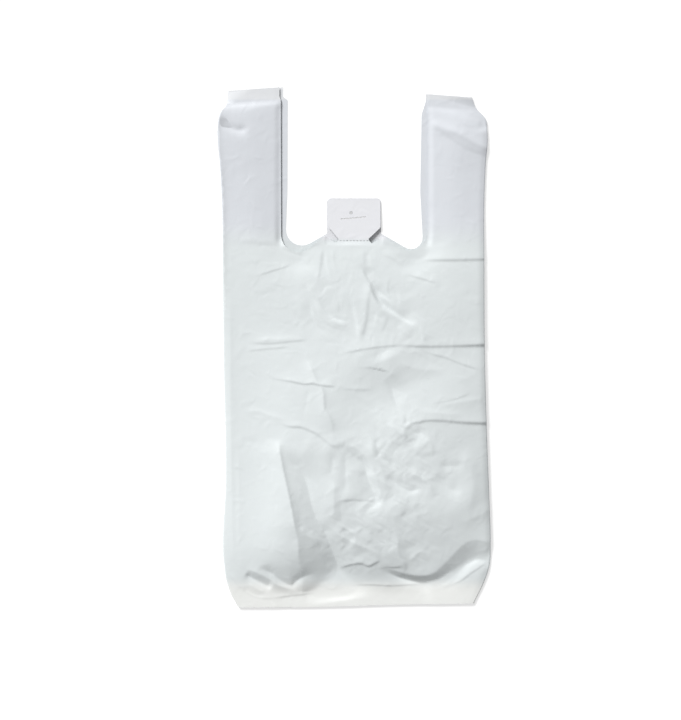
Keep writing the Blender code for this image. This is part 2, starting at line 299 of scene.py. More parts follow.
def lap(off, share, rise, reach, edge=1.5, start=0.3, end=0.3):
    """Film lapping over itself: it climbs to a lip on the lit side and drops off beyond it."""
    over = rise * np.exp(-np.maximum(off, 0) / reach)
    below = -LAP_SINK * rise * np.exp(np.minimum(off, 0) / (SINK_REACH * reach))
    mix = 0.5 + 0.5 * np.tanh(off / edge)
    near = np.exp(-((off / (LAP_END * reach)) ** 4))
    return fading(share, start, end) * (over * mix + below * (1 - mix)) * near


def chord_share(x, y, line):
    """How far along the straight way from a line's start to its end each point lies."""
    whole = line[-1] - line[0]
    return np.clip(((x - line[0][0]) * whole[0] + (y - line[0][1]) * whole[1]) / (whole @ whole), 0, 1)


def above_zero(value, soft):
    """The value where it is above zero and nothing elsewhere, with the corner rounded off."""
    return 0.5 * (np.hypot(value, soft) + value)


def between_lines(x, y, top, foot, soft):
    """How far each point is down from the top line, still above the foot line, and below it."""
    top_side = np.sign(off_line(*foot[len(foot) // 2][:, None], top, 1)[0])
    foot_side = np.sign(off_line(*top[len(top) // 2][:, None], foot, 1)[0])
    off_top, off_foot = off_line(x, y, top, -top_side)[0], off_line(x, y, foot, foot_side)[0]
    return above_zero(-off_top, soft), above_zero(off_foot, soft), above_zero(-off_foot, soft)


def pleat(x, y, top, foot, depth, back, start, end, soft=0.8):
    """Film that falls evenly from one line to a second one, and comes back up beyond it."""
    down, above, below = between_lines(x, y, top, foot, soft)
    share = chord_share(x, y, (top + foot) / 2 if len(top) == len(foot) else foot)
    fall = down / (down + above + 0.001)
    return -depth * fading(share, start, end) * fall * np.exp(-below / back)


def gore(x, y, top, foot, rate, back, start, end, soft):
    """A flank of one steepness between two lines that part, so it is deeper where it is wider."""
    down, above, below = between_lines(x, y, top, foot, soft)
    fade = fading(chord_share(x, y, top), start, end)
    return -rate * fade * np.maximum(down - below, 0) * np.exp(-below / back)


def press_folds(x, y, folds):
    """Height that all the folds together add at (x, y)."""
    total = np.zeros_like(x)
    for kind, line, values in folds.values():
        if kind in ("pleat", "gore"):
            shape = pleat if kind == "pleat" else gore
            total += shape(x, y, smooth_line(line[0]), smooth_line(line[1]), *values)
            continue
        path = smooth_line(line)
        room = NEAR_REACHES * (max(values[1], values[2]) if kind == "ridge" else values[1])
        near = (x > path[:, 0].min() - room) & (x < path[:, 0].max() + room)
        near &= (y > path[:, 1].min() - room) & (y < path[:, 1].max() + room)
        off, share = off_line(x[near], y[near], path)
        total[near] += (ridge if kind == "ridge" else lap)(off, share, *values)
    return total


print("fold shapes ready")

# %% [markdown]
# The bag was folded for packing, so laps run straight across it at three levels. They are sharpest
# at the right, where the film is pulled tight over the edge of the stack, and die out to the left.
# Each entry is a line in millimetres and then the numbers that its function above takes.

# %% Folds across the bag
packing_folds = {
    "waist_right": ("lap", ((156, 2), (118, 1), (85, 0.5), (60, 1.5), (42, 4)), (0.75, 12, 1.3, 0)),
    "waist_corner": ("lap", ((156, 3), (136, 2), (110, 1)), (0.9, 9, 2.2, 0, 0.9)),
    "waist_bow": ("lap", (
        (60, 2), (40, 1), (18.5, -1.5), (-3.5, -5.4), (-21, -10),
    ), (0.5, 7, 1.0, 0.25, 0.35)),
    "waist_left": ("lap", ((-50, 8), (-67, 7), (-84, 5), (-102, 4), (-122, 5)), (0.45, 7, 1.0, 0.2, 0.2)),
    "waist_left_light": ("ridge", ((-66, 11), (-84, 9), (-102, 8.5), (-118, 9)), (0.3, 3, 3)),
    "waist_left_low": ("lap", ((-70, 1), (-85, -1), (-102, -2.4), (-125, -5)), (0.4, 5, 1.0, 0.25, 0.2)),
    "belt_left": ("lap", (
        (-20, -46), (-38, -44), (-48, -42), (-57, -42.7), (-72, -39.7), (-87, -37.3), (-106, -33),
    ), (0.75, 5, 0.9, 0.1, 0.5)),
    "belt_faint": ("lap", ((24, -49), (2, -49), (-18, -48)), (0.3, 5, 1.0)),
    "elbow_right": ("lap", (
        (148, -27), (136, -23.6), (121, -18.6), (107, -12.8), (92, -8.8), (78, -3.5),
    ), (0.55, 5, 1.0, 0.2)),
    "hip_right": ("lap", (
        (156, -88), (126, -87), (107, -85.3), (87, -84.4), (72, -87), (58, -88),
    ), (0.95, 9, 1.5, 0, 0.15)),
    "hip_corner": ("lap", ((156, -88), (136, -88), (108, -86)), (0.6, 9, 2.0, 0, 0.9)),
    "hip_left": ("ridge", (
        (-74, -84), (-86, -81.4), (-100, -77.5), (-111, -73.6), (-128, -76),
    ), (0.35, 3, 4)),
    "hip_left_shade": ("lap", (
        (-20, -117), (-30, -110), (-40, -102), (-51, -96), (-62, -92), (-76, -91), (-90, -84),
    ), (0.8, 6, 1.3, 0.15)),
    "hip_left_grey": ("ridge", ((-108, -112), (-118, -109), (-130, -105)), (-0.25, 4, 4)),
    "shoulder_right": ("lap", ((156, 101), (115, 100), (92, 100), (76, 99)), (0.85, 9, 1.4, 0, 0.2)),
    "shoulder_left": ("lap", (
        (-56, 104), (-72, 110), (-88, 117), (-111, 120), (-146, 121.5),
    ), (0.5, 6, 1.2, 0.2)),
    "collar_left": ("lap", ((-68, 98), (-80, 92), (-96, 87), (-115, 80)), (0.45, 5, 0.9, 0.25)),
    "collar_right": ("lap", ((96, 73), (80, 78), (69, 81), (58, 85)), (0.5, 5, 0.9, 0.2)),
}
print(len(packing_folds), "folds across the bag")

# %% [markdown]
# Below the hang tab the film hangs slack in thin drapes. They bend round in arcs on the left, and
# the largest runs from the tab's foot down to the right. Each is a lap: with a positive rise the
# film drops off away from the light and shows a dark line, with a negative one it steps up and
# catches the light.

# %% Drapes under the tab
dark_drapes = {
    "left_line": (((-36.5, 113), (-37.8, 96.7), (-40.2, 82), (-41.5, 68)), (0.5, 6, 1.5, 0.2, 0.4)),
    "arc": (((-45.5, 56), (-44, 47), (-39.2, 35.8), (-30, 26.6), (-17, 21), (-6, 18)), (0.55, 6, 1.7)),
    "inner_arc": (((-30, 34), (-23, 27), (-14, 24), (-4, 24)), (0.4, 5, 1.4)),
    "short_line": (((-18, 56), (-17.5, 38)), (0.3, 4, 1.2, 0.4, 0.4)),
    "short_line_right": (((-13.5, 57), (-12.5, 42)), (0.25, 4, 1.2, 0.4, 0.4)),
    "middle": ((
        (18.5, 74), (16.5, 55), (15.2, 37.6), (12.4, 22.9), (7.5, 3),
    ), (0.95, 10, 2.4, 0.3, 0.25)),
    "under_long": (((15, 80), (20, 66), (25.4, 54), (32, 44), (44, 34)), (1.3, 9, 2.4)),
    "right_wave": (((42, 82), (39.4, 73), (39.2, 63.5), (46, 53)), (0.4, 5, 1.4)),
    "pocket": (((38, 36), (36.4, 28), (31, 15)), (0.55, 6, 2.2)),
    "pocket_right": (((48, 24), (55, 17), (66, 9)), (0.6, 6, 2.6)),
    "tail": (((60, 30), (66, 26.6), (75.2, 17.3), (80.5, 5)), (0.6, 6, 1.5, 0.3, 0.2)),
    "shoulder": (((31, 108), (35.5, 106), (47.5, 99.5), (58, 91)), (0.5, 6, 1.5, 0.3, 0.2)),
    "upper_middle": (((11, 112), (12, 98), (11, 88)), (0.4, 6, 1.8, 0.3, 0.4)),
    "upper_left": (((-24, 114), (-22, 98), (-17, 84)), (0.3, 6, 1.5, 0.3, 0.4)),
    "fringe_left": (((-56, 112), (-46, 117.5), (-36, 121)), (0.5, 5, 1.4)),
    "fringe_right": (((28, 121), (38, 119.5), (53, 114.5)), (0.6, 5, 1.6)),
    "left_cheek": (((-62, 62), (-60, 50), (-54, 36)), (0.25, 10, 3.0, 0.4, 0.4)),
    "far_left": (((-112, 62), (-96, 66), (-84, 74)), (0.3, 9, 3.0, 0.4, 0.4)),
}
light_drapes = {
    "left_line": (((-34, 112), (-32, 92), (-28, 80), (-24, 72)), (-0.45, 5, 1.4, 0.2, 0.4)),
    "oval_top": (((-37.5, 56), (-34.6, 65.3), (-30, 69.4), (-18, 67)), (-0.35, 5, 1.3, 0.3, 0.4)),
    "oval": (((-42, 60), (-40, 54), (-35.6, 45), (-28.2, 36), (-19, 30.6), (-2, 28)), (-0.75, 6)),
    "outer_top": (((-57, 75), (-50, 62), (-42, 50)), (-0.45, 5, 1.4, 0.3, 0.4)),
    "outer": (((-51, 56), (-49, 44), (-47, 34), (-41, 24.7), (-28, 17)), (-0.55, 6, 1.7)),
    "stay": (((-58, 97), (-49, 87), (-45, 79)), (-0.4, 5, 1.4)),
    "middle": (((-3, 62), (-1.4, 48), (2, 31), (5, 5)), (-0.75, 9, 2.4, 0.35, 0.2)),
    "middle_high": (((-3, 94), (-5, 80), (-8, 62)), (-0.3, 7, 2.2, 0.4, 0.4)),
    "long_upper": ((
        (9, 92), (13, 83), (18, 74.6), (25.4, 65.3), (34.6, 57), (46, 49),
    ), (-1.6, 7, 1.7, 0.2)),
    "long_lower": ((
        (18, 72), (22, 63), (28, 52.4), (36.4, 45), (47.5, 37.6), (58.6, 30.3), (72, 23),
    ), (-2.2, 8, 1.9, 0.2, 0.25)),
    "top_stripe": (((17, 112), (18, 96), (25, 81)), (-0.45, 6, 1.8)),
    "right_wave": (((44, 74), (50, 64), (52, 45)), (-0.4, 5, 1.6)),
    "right_bit": (((25, 42), (24, 22)), (-0.4, 5, 1.6, 0.3, 0.4)),
    "under_cuts": (((-27, 117), (-2.3, 120), (18, 118), (29, 114)), (-0.35, 5, 1.3)),
    "left_mouth": (((-88, 114), (-70, 106), (-50, 101)), (-0.5, 6, 1.7, 0.2)),
    "right_mouth": (((56, 104), (73, 100), (84, 104), (89, 116)), (-0.5, 6, 1.7)),
    "bow_light": (((-40, 5), (-20, 3), (-8, 3)), (-0.2, 4, 1.3)),
}
drapes = {f"dark_{name}": ("lap", *fold) for name, fold in dark_drapes.items()}
drapes.update({f"light_{name}": ("lap", *fold) for name, fold in light_drapes.items()})
print(len(drapes), "drapes")

# %% [markdown]
# Lower down the film is stretched over the air inside. Its large flat panels meet in long creases.
# On the left it is drawn over the inner fold of the gusset, with a deep wedge beside that. A pleat
# or a gore holds two lines, the one that it falls from and the one at its foot.

# %% Panels of the body
panels = {
    "wedge": ("gore", (
        ((-86, -112), (-84.5, -122), (-81, -141), (-76.5, -161), (-72, -182), (-68, -203), (-65, -222),
         (-62.5, -244), (-60, -265), (-58, -300)),
        ((-86, -112), (-75.7, -123), (-69, -132.3), (-60.4, -144), (-55.5, -153.5), (-51.7, -168),
         (-47, -187), (-41, -201.6), (-34.4, -211), (-30.5, -221), (-23, -240), (-17, -258),
         (-6, -300)),
    ), (0.19, 17, 0.14, 0.1, 0.6)),
    "centre_panel": ("pleat", (
        ((-57, -12), (-49.6, -24.5), (-45.6, -31.4), (-42.7, -39.2), (-36, -50), (-34.9, -70.6),
         (-29.9, -79.5), (-26, -88.3), (-26, -98), (-20, -111)),
        ((12, -4), (20, -18), (31, -36), (42, -47), (46, -59), (50, -69), (56, -76), (61, -86),
         (62, -104)),
    ), (5.0, 75, 0.6, 0.6)),
    "sweep": ("pleat", (
        ((-30, -107), (-21, -110), (-10, -107), (-1, -114), (7, -120), (14, -127), (20, -136),
         (23, -147), (27, -157), (31, -170)),
        ((-30, -112), (-22, -116), (-12, -115), (-5, -121), (1, -127), (9, -133), (13, -140),
         (15, -149), (19, -160), (24, -172), (30, -186)),
    ), (2.8, 14, 0.45, 0.2, 0.7)),
    "panel_edge_left": ("ridge", (
        (-57, -12), (-49, -25), (-43, -39), (-36, -50), (-34.5, -70), (-29, -80), (-25, -90),
        (-25, -100),
    ), (1.0, 7, 3, 1.2, 0.2, 0.2)),
    "panel_hem": ("ridge", ((-52.5, -46), (-54.5, -64), (-58, -78)), (-0.25, 3, 3)),
    "panel_edge_right": ("ridge", (
        (33, -38), (42, -47), (46, -59), (50, -69), (56, -75), (60, -82), (61, -91),
    ), (-0.8, 4, 8, 1.3, 0.3, 0.1)),
    "elbow_light": ("ridge", ((34, -4), (41, -19.6), (44, -29.4), (36, -38)), (1.5, 17, 16)),
    "elbow_band": ("ridge", (
        (46, -15), (67.5, -23.6), (87, -26.5), (112, -25),
    ), (0.55, 6, 7, 1.5, 0.3, 0.35)),
    "hem_upper": ("lap", ((136, -53), (112, -60.8), (86, -66)), (0.3, 5, 1.0, 0.2)),
    "hem_lower": ("ridge", ((150, -59), (131, -61.8), (95, -68)), (0.28, 3, 4, 1.5, 0.1)),
    "hip_hem": ("ridge", ((66, -73), (95, -76), (132, -78)), (0.3, 3.4, 4)),
    "sweep_light": ("ridge", (
        (19, -96), (21, -119.8), (30, -138), (35, -153), (36, -172),
    ), (0.9, 6, 7, 1.4)),
    "box_side": ("ridge", ((-10, -118), (-10, -144), (-10.4, -172)), (-0.6, 5, 4.5, 1.5, 0.25, 0.25)),
    "box_notch": ("ridge", ((-25, -120), (-25, -149)), (-0.55, 4.5, 4.5, 1.5, 0.4, 0.4)),
    "box_bottom": ("lap", ((28, -177), (1, -175.6), (-21, -177)), (0.45, 7, 1.1, 0.2, 0.2)),
    "box_light": ("ridge", ((-22, -146), (-23.4, -170), (-23, -206)), (0.9, 8, 6, 1.4)),
    "left_ridge": ("ridge", (
        (-87, -104), (-85, -122), (-81.5, -141), (-77, -161), (-72.5, -182), (-68.5, -203),
        (-65.5, -222),
    ), (1.8, 13, 3.0, 1.1, 0.15, 0.2)),
    "second_ridge": ("ridge", (
        (-72, -163), (-68, -180), (-65.5, -201.6), (-64.5, -221), (-64, -252),
    ), (0.4, 5, 4, 1.3, 0.3, 0.15)),
    "wedge_tongue": ("ridge", (
        (-62, -205), (-56, -214), (-48, -220), (-36, -231),
    ), (0.7, 4, 5, 1.5, 0.2)),
    "low_hook": ("ridge", ((-13, -205), (-6.5, -218), (2, -224)), (-0.5, 3.4, 3.2)),
    "side_line": ("ridge", (
        (-142.5, 90), (-142, -20), (-141, -160), (-139, -255),
    ), (0.22, 2.6, 3, 1.5, 0.2, 0.1)),
    "side_line_inner": ("ridge", ((-134, -100), (-132, -165), (-133, -245)), (0.22, 3, 3.4)),
    "crumple_rim": ("ridge", ((60, -142), (79, -151), (87, -159), (91, -172)), (1.0, 7, 4, 1.3, 0.25)),
    "crumple_pocket": ("ridge", (
        (36, -144), (48, -156), (57.7, -162), (66, -165), (82, -160),
    ), (-1.3, 6, 5, 1.4, 0.25)),
    "crumple_groove": ("ridge", (
        (26.4, -98), (26.4, -118), (32, -127.5), (42, -133.4), (47, -146),
    ), (-0.7, 4, 4, 1.5, 0.25)),
    "crumple_light": ("ridge", ((40, -86), (51, -98), (64, -101)), (0.6, 4, 4.4)),
    "crumple_dark": ("ridge", ((60, -90), (71, -99), (82, -96)), (-0.9, 5.5, 5, 1.5, 0.25)),
    "crumple_line": ("ridge", ((78, -103), (88, -112), (90, -127)), (0.8, 9, 3.6, 1.4)),
    "right_bar": ("ridge", ((96, -137), (128, -136)), (-0.7, 5, 5)),
    "right_hollow": ("ridge", ((97, -143), (107, -161), (126, -167)), (-1.0, 8, 8)),
    "right_strip": ("ridge", ((120, -112), (134, -137), (136, -168), (128, -200)), (1.2, 13, 12)),
    "right_nick": ("ridge", ((156, -186), (141, -195), (120, -203)), (0.5, 6, 6, 1.5, 0, 0.4)),
}
print(len(panels), "panel folds")

# %% [markdown]
# At the bottom the air pushes the front film over the weld. It rolls over and tucks in behind
# itself, with a hard dark tuck at the right and a row of small ripples at the left. Its rim lies on
# the pale skirt of film edges below the weld.

# %% Roll over the bottom weld
bottom_folds = {
    "tuck": ("pleat", (
        ((164, -228), (148, -223), (139.6, -222), (129, -225), (119.4, -233), (110, -243), (100, -253),
         (91.5, -260), (82, -263), (72, -263), (57, -260), (46, -257), (30, -250)),
        ((164, -248), (148, -245), (139.6, -245), (129, -251), (119.4, -260), (110, -268), (100, -273),
         (91.5, -275), (82, -274), (72, -271), (57, -267), (46, -263), (28, -254)),
    ), (4.4, 6, 0.06, 0.25)),
    "tuck_second": ("ridge", (
        (115, -256), (103, -265), (94.4, -271), (87, -280),
    ), (-0.5, 4.5, 4, 1.4, 0.2, 0.4)),
    "rim": ("lap", (
        (156, -246), (143, -255), (134, -261), (124, -269), (108, -276), (91, -280), (77, -274),
        (44, -275), (18, -274), (0, -275), (-20, -278), (-50, -284), (-75, -287), (-100, -290),
        (-117, -287), (-131, -277), (-146, -260),
    ), (0.45, 5, 0.8, 0.03, 0.03)),
    "blob": ("ridge", (
        (43, -208), (48, -218), (50.5, -224.6), (49.5, -232.3), (53, -241), (58, -252), (56, -260),
    ), (1.3, 13, 6, 1.2, 0.35, 0.25)),
    "blob_ring": ("ridge", ((62, -249), (72, -238), (79, -236), (87, -245)), (0.5, 3.4, 3.4)),
    "bottom_lap": ("lap", (
        (33, -244), (26, -247.7), (16.5, -252), (7, -249), (-7, -251.6), (-20, -257),
    ), (0.9, 7, 1.2, 0.2, 0.25)),
    "ripple_dark": ("ridge", (
        (-110, -253), (-97, -259), (-88, -266), (-78, -272.7), (-71, -274), (-66, -269), (-57, -264),
        (-41, -260),
    ), (-1.7, 6, 5, 1.4, 0.2)),
    "ripple_light": ("ridge", (
        (-125, -254), (-113, -259), (-103, -264), (-95, -269), (-88, -274), (-75, -278.5), (-62, -282),
    ), (0.9, 4.5, 4, 1.4, 0.2)),
    "ripple_dark_low": ("ridge", (
        (-126, -261), (-114, -268), (-105, -272.7), (-94, -278),
    ), (-1.9, 5, 3.4, 1.4, 0.2, 0.2)),
    "ripple_edge": ("ridge", ((-128, -277), (-116.5, -284.3), (-102, -288)), (-0.6, 3.4, 3, 1.4, 0.2)),
    "ripple_small": ("ridge", ((-123, -271), (-112, -279), (-101, -284)), (0.5, 2.8, 2.8, 1.4)),
    "ripple_end": ("ridge", ((-68, -280), (-53, -282.3), (-34, -279)), (-0.5, 3.6, 3.6, 1.4)),
}
print(len(bottom_folds), "folds at the bottom")

# %% [markdown]
# The handles are pressed nearly flat. They have a dimple and a low band at the left, and at the
# right a brow that slants down to the side, with a tuck at the corner above it.

# %% Folds of the handles
handle_folds = {
    "left_dimple": ("ridge", (
        (-156, 264), (-148, 257), (-140, 252.5), (-132, 250), (-119, 253),
    ), (-1.7, 4.5, 4.5, 1.4, 0.2)),
    "left_band": ("ridge", ((-152, 273), (-123, 278), (-82, 281)), (0.5, 6, 5, 1.5, 0.1, 0.1)),
    "right_brow": ("ridge", (
        (158, 228), (147.7, 231), (136, 237), (119, 246.5), (101.5, 252.5), (84, 262),
    ), (1.3, 7, 5, 1.5, 0, 0.2)),
    "right_brow_line": ("lap", (
        (158, 220), (147.7, 223), (136, 226.5), (124.6, 232), (113, 240), (99, 249), (86, 257),
    ), (0.5, 6, 1.1, 0, 0.35)),
    "right_top_shade": ("ridge", ((116, 273), (130, 268), (146, 261)), (-0.5, 7, 6, 1.4, 0.3, 0.2)),
    "right_corner_tuck": ("ridge", (
        (141, 277), (148, 266), (151.5, 248),
    ), (-2.8, 6, 4.5, 1.3, 0.2, 0.25)),
}
print(len(handle_folds), "handle folds")

# %% [markdown]
# Between its folds thin film isn't smooth: it crumples into small flat facets with sharp creases.
# Random heights on a crooked lattice, joined by flat triangles, give just that. A noise texture
# would be quicker, but its bumps are round, like orange peel.


# %% Crumpled film
LATTICE = 256
WARP = 0.55  # how crooked the lattice is
COARSE, MIDDLE, FINE = (5, 24), (9, 13, 1.4), (21, 6.5)  # seed, size in millimetres, stretch
COARSE_HEIGHT, MIDDLE_HEIGHT, FINE_HEIGHT = 1.5, 0.8, 0.24
SMOOTH_ROUGH, SMOOTH_FINE = 0.07, 0.1  # roughness where nothing is crumpled
ROUGH_PLACES = (  # middle of an ellipse, its half width and half length, and roughness added there
    ((52, -122), (40, 50), 0.42), ((20, -208), (70, 42), 0.42), ((0, 62), (62, 52), 0.1),
    ((-40, -115), (45, 35), 0.2), ((55, 5), (55, 40), 0.14),
)
FINE_PLACES = (((50, -130), (55, 60), 0.8), ((20, -220), (80, 40), 0.8), ((0, 50), (120, 70), 0.2))


def facets(x, y, seed, size, stretch=1.0):
    """Heights of -1 to 1 on a crooked lattice with flat facets between them."""
    chance = np.random.default_rng(seed)
    p, q = x / size, y / (size * stretch)
    p = p + WARP * np.sin(1.9 * q + seed) + 0.3 * WARP * np.sin(4.3 * q + 2 * seed)
    q = q + WARP * np.sin(1.7 * p + 2.3 * seed) + 0.3 * WARP * np.sin(3.9 * p + seed)
    i, j = np.floor(p).astype(int), np.floor(q).astype(int)
    heights = chance.uniform(-1, 1, (LATTICE, LATTICE))

    def corner(a, b):
        return heights[(i + a) % LATTICE, (j + b) % LATTICE]

    fp, fq = p - i, q - j
    near, far, right, above = corner(0, 0), corner(1, 1), corner(1, 0), corner(0, 1)
    low_half = near + fp * (right - near) + fq * (above - near)
    high_half = far + (1 - fp) * (above - far) + (1 - fq) * (right - far)
    return np.where(fp + fq > 1, high_half, low_half)


def roughness(x, y, least, places):
    """The least roughness, and what each place adds to it."""
    total = least
    for centre, size, more in places:
        r = np.hypot((x - centre[0]) / size[0], (y - centre[1]) / size[1])
        total = total + more * np.exp(-(r**3))
    return total


def crumple(x, y):
    """The crumpling all over the front, strongest in the middle right and above the tuck."""
    rough = roughness(x, y, SMOOTH_ROUGH, ROUGH_PLACES)
    fine = roughness(x, y, SMOOTH_FINE, FINE_PLACES)
    large = COARSE_HEIGHT * facets(x, y, *COARSE) + MIDDLE_HEIGHT * facets(x, y, *MIDDLE)
    return rough * large + fine * FINE_HEIGHT * facets(x, y, *FINE)


probe_x, probe_y = np.meshgrid(np.linspace(-150, 150, 61), np.linspace(-260, 120, 77))
probe = crumple(probe_x, probe_y)
print("crumpling from", probe.min().round(2), "to", probe.max().round(2), "mm")

# %% [markdown]
# Height of the front film. A table gives the level of the air cushion under it: rows along the
# bag, columns across it. It is pressed flat at both welds, highest in the lower middle of the body
# and low at the side folds. The folds and the crumpling are added to that everywhere except above
# the handle welds, where the films are one flat strip, and on the tab, which the pin holds flat.

# %% Cushion of air
ACROSS = (-1, -0.77, -0.53, -0.27, 0, 0.27, 0.53, 0.77, 1)
CUSHION = (
    (-300, (2,) * 9),
    (-284, (2.1, 2.3, 2.4, 2.4, 2.4, 2.4, 2.4, 2.4, 2.2)),
    (-274, (2.4, 3.3, 4.8, 4.6, 4.2, 3.9, 3.8, 3.3, 2.6)),
    (-262, (2.6, 5, 7.4, 7, 6.4, 5.9, 6.4, 4.6, 3.4)),
    (-250, (2.8, 6.5, 10.2, 10, 9.2, 8.5, 7.8, 6, 4.4)),
    (-235, (3, 7.6, 12.8, 13, 12, 11.2, 9.6, 7.6, 5.4)),
    (-212, (3, 8, 14.4, 15.4, 14.8, 14.2, 12.4, 9.8, 5.2)),
    (-190, (3, 8, 15, 16.2, 16, 15.6, 14.2, 11.4, 5)),
    (-172, (3, 8, 15.2, 16.6, 16.4, 15.6, 14, 11, 4.8)),
    (-155, (3.2, 8.1, 15, 16.6, 16.4, 15.2, 13.2, 10, 4.8)),
    (-130, (3.6, 8.4, 14.4, 16.2, 16, 14.8, 12.8, 9.6, 5)),
    (-100, (4.2, 8.4, 13.4, 15.2, 15.2, 14.4, 12.6, 9.6, 5)),
    (-60, (5, 8.3, 12.2, 14.2, 14.4, 14, 12.4, 9.6, 5.4)),
    (-20, (5.8, 7.9, 10.4, 12, 12.4, 12.2, 11, 9, 5.8)),
    (20, (6, 7.2, 8.6, 9.6, 10, 9.8, 9.2, 8, 6)),
    (60, (5.8, 6.8, 7.8, 8.4, 8.6, 8.4, 8, 7.4, 5.6)),
    (80, (5.6, 6.6, 7, 7.6, 7.8, 7.4, 7, 6.8, 5.4)),
    (100, (5.4, 6.2, 5.8, 6.2, 6.6, 6, 5.6, 6.2, 5)),
    (122, (5, 5.4, 3.8, 4.4, 4.8, 4.2, 3.6, 5.4, 4.6)),
    (150, (4.4, 4.6, 2.8, 3.4, 4.4, 3.4, 2.6, 4.8, 3.8)),
    (200, (4.2, 4.4, 2.7, 3, 4.4, 3, 2.5, 4.6, 3.4)),
    (262, (4.2, 4.4, 2.7, 3, 4.4, 3, 2.5, 4.6, 3.4)),
    (274, (3.6, 3.9, 2.6, 3, 4, 3, 2.4, 3.8, 3.2)),
    (285, (2,) * 9),
    (300, (2,) * 9),
)


def cushion(u, v):
    """Level of the air cushion at share u across the bag and place v along it."""
    places, levels = zip(*CUSHION)
    columns = [smooth_between(places, column, v) for column in zip(*levels)]
    return smooth_between(ACROSS, columns, u)


print("cushion at the middle", round(float(cushion(np.zeros(1), np.zeros(1))[0]), 1), "mm")

# %% Height of the front film
WELD_CLEAR, WELD_EASE = 1.5, 6.0
LEFT_BEAD = ((-300, -0.3), (20, -0.5), (95, 0.5), (300, 0.5))
RIGHT_BEAD = -1.3
BEAD_WIDTH = 3.4
REST_SOFT, REST_LEAST = 1.2, 0.001  # how gently the front settles on the film under it
STEP_START, STEP_WIDTH = 12.0, 14.0  # where two films become four, from the gusset's inner fold
MOUTH_LINE = ((88, 150), (85, 118), (74, 102), (62, 101), (50, 110), (42, 115))
MOUTH_LEVEL, MOUTH_REACH, MOUTH_SHARE, MOUTH_FADE = 3.6, 13, 0.6, (0.2, 0.35)
STRAP_EDGE, STRAP_LEVEL, STRAP_REACH = 85.0, 1.3, 4
STRAP_FROM, STRAP_EASE_IN, STRAP_TO, STRAP_EASE_OUT = 112, 16, 284, 10
TAB_HALF_WIDTH, TAB_SIDE_EASE = 34.0, 3
TAB_START, TAB_END, TAB_EASE, SLOPE_END = 122.0, 171.0, 5, 1.2
TAB_ROOT_LEVEL, TAB_LEVEL = 4.0, BACK_LEVEL + LAYER_STEP + 0.1
ALL_FOLDS = {**packing_folds, **drapes, **panels, **bottom_folds, **handle_folds}


def pressed_height(x):
    """Four films lie on each other over the gussets, two between them."""
    inner = ease((np.abs(x) - FACE_WIDTH / 2 + GUSSET_DEPTH + STEP_START) / STEP_WIDTH)
    return BACK_LEVEL + LAYER_STEP + 2 * LAYER_STEP * inner


def lie_down(height, x, y):
    """Along the cut edges there is no air between the films, so the front sinks to the back."""
    off, share = off_line(np.abs(x), y, smooth_line(MOUTH_LINE))
    near_mouth = np.exp(-((off / MOUTH_REACH) ** 2)) * fading(share, *MOUTH_FADE)
    height = height + (np.minimum(height, MOUTH_LEVEL) - height) * near_mouth * MOUTH_SHARE
    on_strap = np.exp(-(((np.abs(x) - STRAP_EDGE) / STRAP_REACH) ** 2))
    on_strap = on_strap * ease((y - STRAP_FROM) / STRAP_EASE_IN)
    on_strap = on_strap * ease((STRAP_TO - y) / STRAP_EASE_OUT)
    return height + (np.minimum(height, STRAP_LEVEL) - height) * on_strap


def front_height(u, v):
    """Height of the front film at share u across the bag and place v along it."""
    x, y = as_it_lies(u, v)
    free = ease((WELD_TOP - v - WELD_CLEAR) / WELD_EASE)
    height = cushion(u, v) + (press_folds(x, y, ALL_FOLDS) + crumple(x, y)) * free
    height = lie_down(height, x, y)
    from_fold = (1 - np.abs(u)) * FACE_WIDTH / 2
    bead = np.where(u < 0, smooth_curve(LEFT_BEAD, v), RIGHT_BEAD)
    height = height + bead * free * np.exp(-((from_fold / BEAD_WIDTH) ** 1.5))
    least = pressed_height(x)
    height = least + above_zero(height - least, REST_LEAST + REST_SOFT * free)
    on_tab = ease((TAB_HALF_WIDTH - np.abs(x)) / TAB_SIDE_EASE)
    on_tab = on_tab * ease((v - TAB_START + TAB_EASE) / TAB_EASE)
    down_tab = np.clip((TAB_END - v) / (TAB_END - TAB_START), 0, SLOPE_END)
    slope = TAB_LEVEL + (TAB_ROOT_LEVEL - TAB_LEVEL) * down_tab
    return height + (slope - height) * on_tab


print("tab lies", round(TAB_LEVEL, 2), "mm above the table")

# %% [markdown]
# The film itself. A flat grid stands for the film before it is folded: its columns run round the
# tube (front, right gusset, back, left gusset) and its rows run along it. Every point of the grid is
# then laid where the folded tube has it, and the two long edges are merged into the tube's seam.
# The columns are closest on the front, which is the side that shows.

# %% Film tube from a flat grid
FRONT_COLUMNS, GUSSET_COLUMNS, BACK_COLUMNS = 250, 5, 12
ROWS = 430
STRIPS = (
    ("front", FRONT_COLUMNS), ("right_in", GUSSET_COLUMNS), ("right_out", GUSSET_COLUMNS),
    ("back", BACK_COLUMNS), ("left_in", GUSSET_COLUMNS), ("left_out", GUSSET_COLUMNS),
)
COLUMNS = sum(count for name, count in STRIPS)

deselect_all()
bpy.ops.mesh.primitive_grid_add(x_subdivisions=COLUMNS, y_subdivisions=ROWS, size=1)
film = bpy.context.object
film.name = "film_bag"
flat_points = np.empty(3 * len(film.data.vertices))
film.data.vertices.foreach_get("co", flat_points)
flat_points = flat_points.reshape(-1, 3)
column = np.rint((flat_points[:, 0] + 0.5) * COLUMNS).astype(int) % COLUMNS
row_share = flat_points[:, 1] + 0.5
print("grid of", COLUMNS, "columns and", ROWS, "rows")

# %% [markdown]
# The rows are closer together on the body than on the handles, which have few folds.

# %% Rows along the bag
ROW_SHARES = (0, 0.16, 0.84, 1)
ROW_PLACES = (-HALF_LENGTH, -228, 118, HALF_LENGTH)


